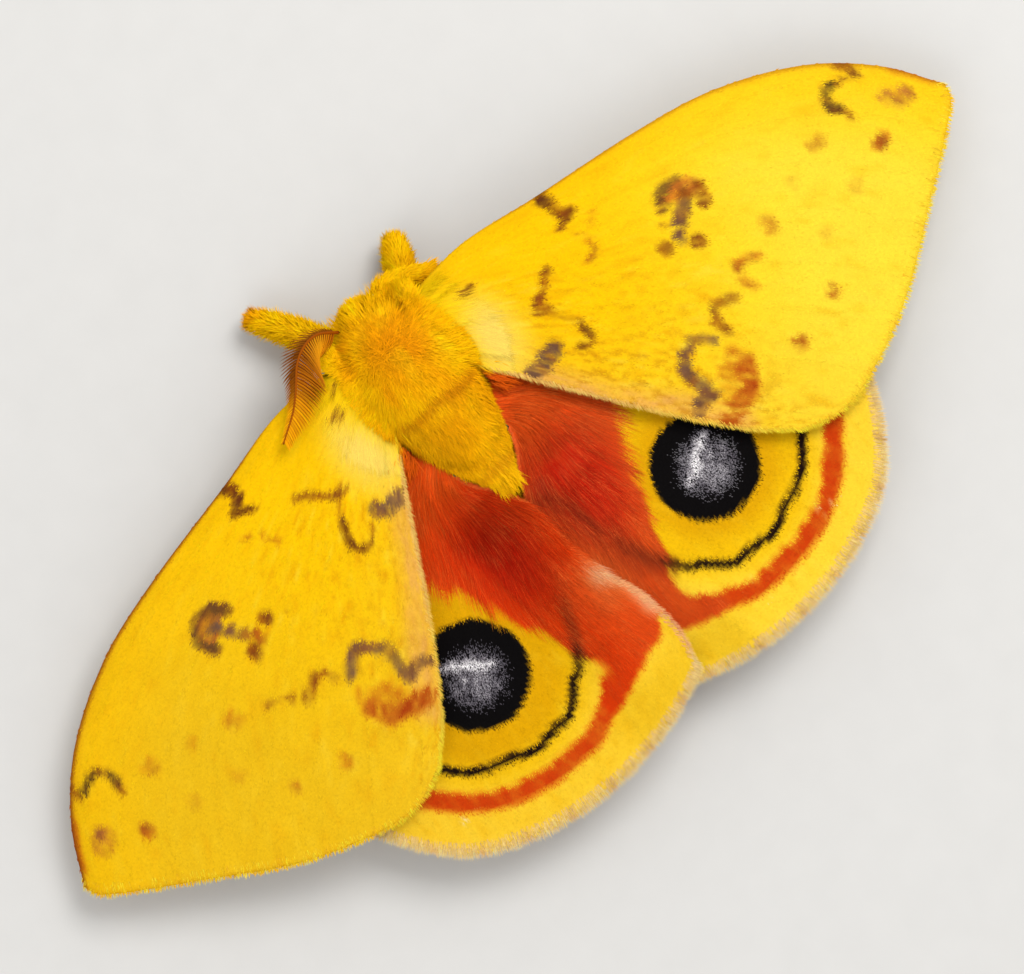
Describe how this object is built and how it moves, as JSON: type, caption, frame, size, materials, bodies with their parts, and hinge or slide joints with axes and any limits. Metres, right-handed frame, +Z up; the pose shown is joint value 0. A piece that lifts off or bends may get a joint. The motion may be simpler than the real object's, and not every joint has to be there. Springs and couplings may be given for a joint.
{
  "type": "moth",
  "caption": "Male io moth with yellow forewings drawn forward, round eyespots on the open hindwings, a furry body and broad feathery antennae",
  "frame": {"origin": "the middle of the bounding box, on the floor that the feet stand on", "axes": "+X to the animal's left, -Y the way the head faces, +Z up"},
  "size_m": [0.0716, 0.0362, 0.009],
  "materials": {
    "body_coat": "long soft ochre yellow hair",
    "leg_coat": "long soft yellow hair",
    "wing_yellow": "fine matt scales, yellow with grey-brown and rust marks",
    "hindwing_red": "matt scales and combed hair, red and yellow round a black eyespot",
    "antenna": "dull orange-brown shaft and pale yellow rays",
    "eye": "dark, smooth and slightly glossy"
  },
  "bodies": {
    "root": {"head": "body_coat", "eye_left": "eye", "eye_right": "eye", "antenna_left": "antenna", "antenna_right": "antenna", "thorax": "body_coat", "abdomen": "body_coat", "forewing_left": "wing_yellow", "forewing_right": "wing_yellow", "hindwing_left": "hindwing_red", "hindwing_right": "hindwing_red", "foreleg_left": "leg_coat", "foreleg_right": "leg_coat", "midleg_left": "leg_coat", "midleg_right": "leg_coat", "hindleg_left": "leg_coat", "hindleg_right": "leg_coat"}
  },
  "joints": []
}
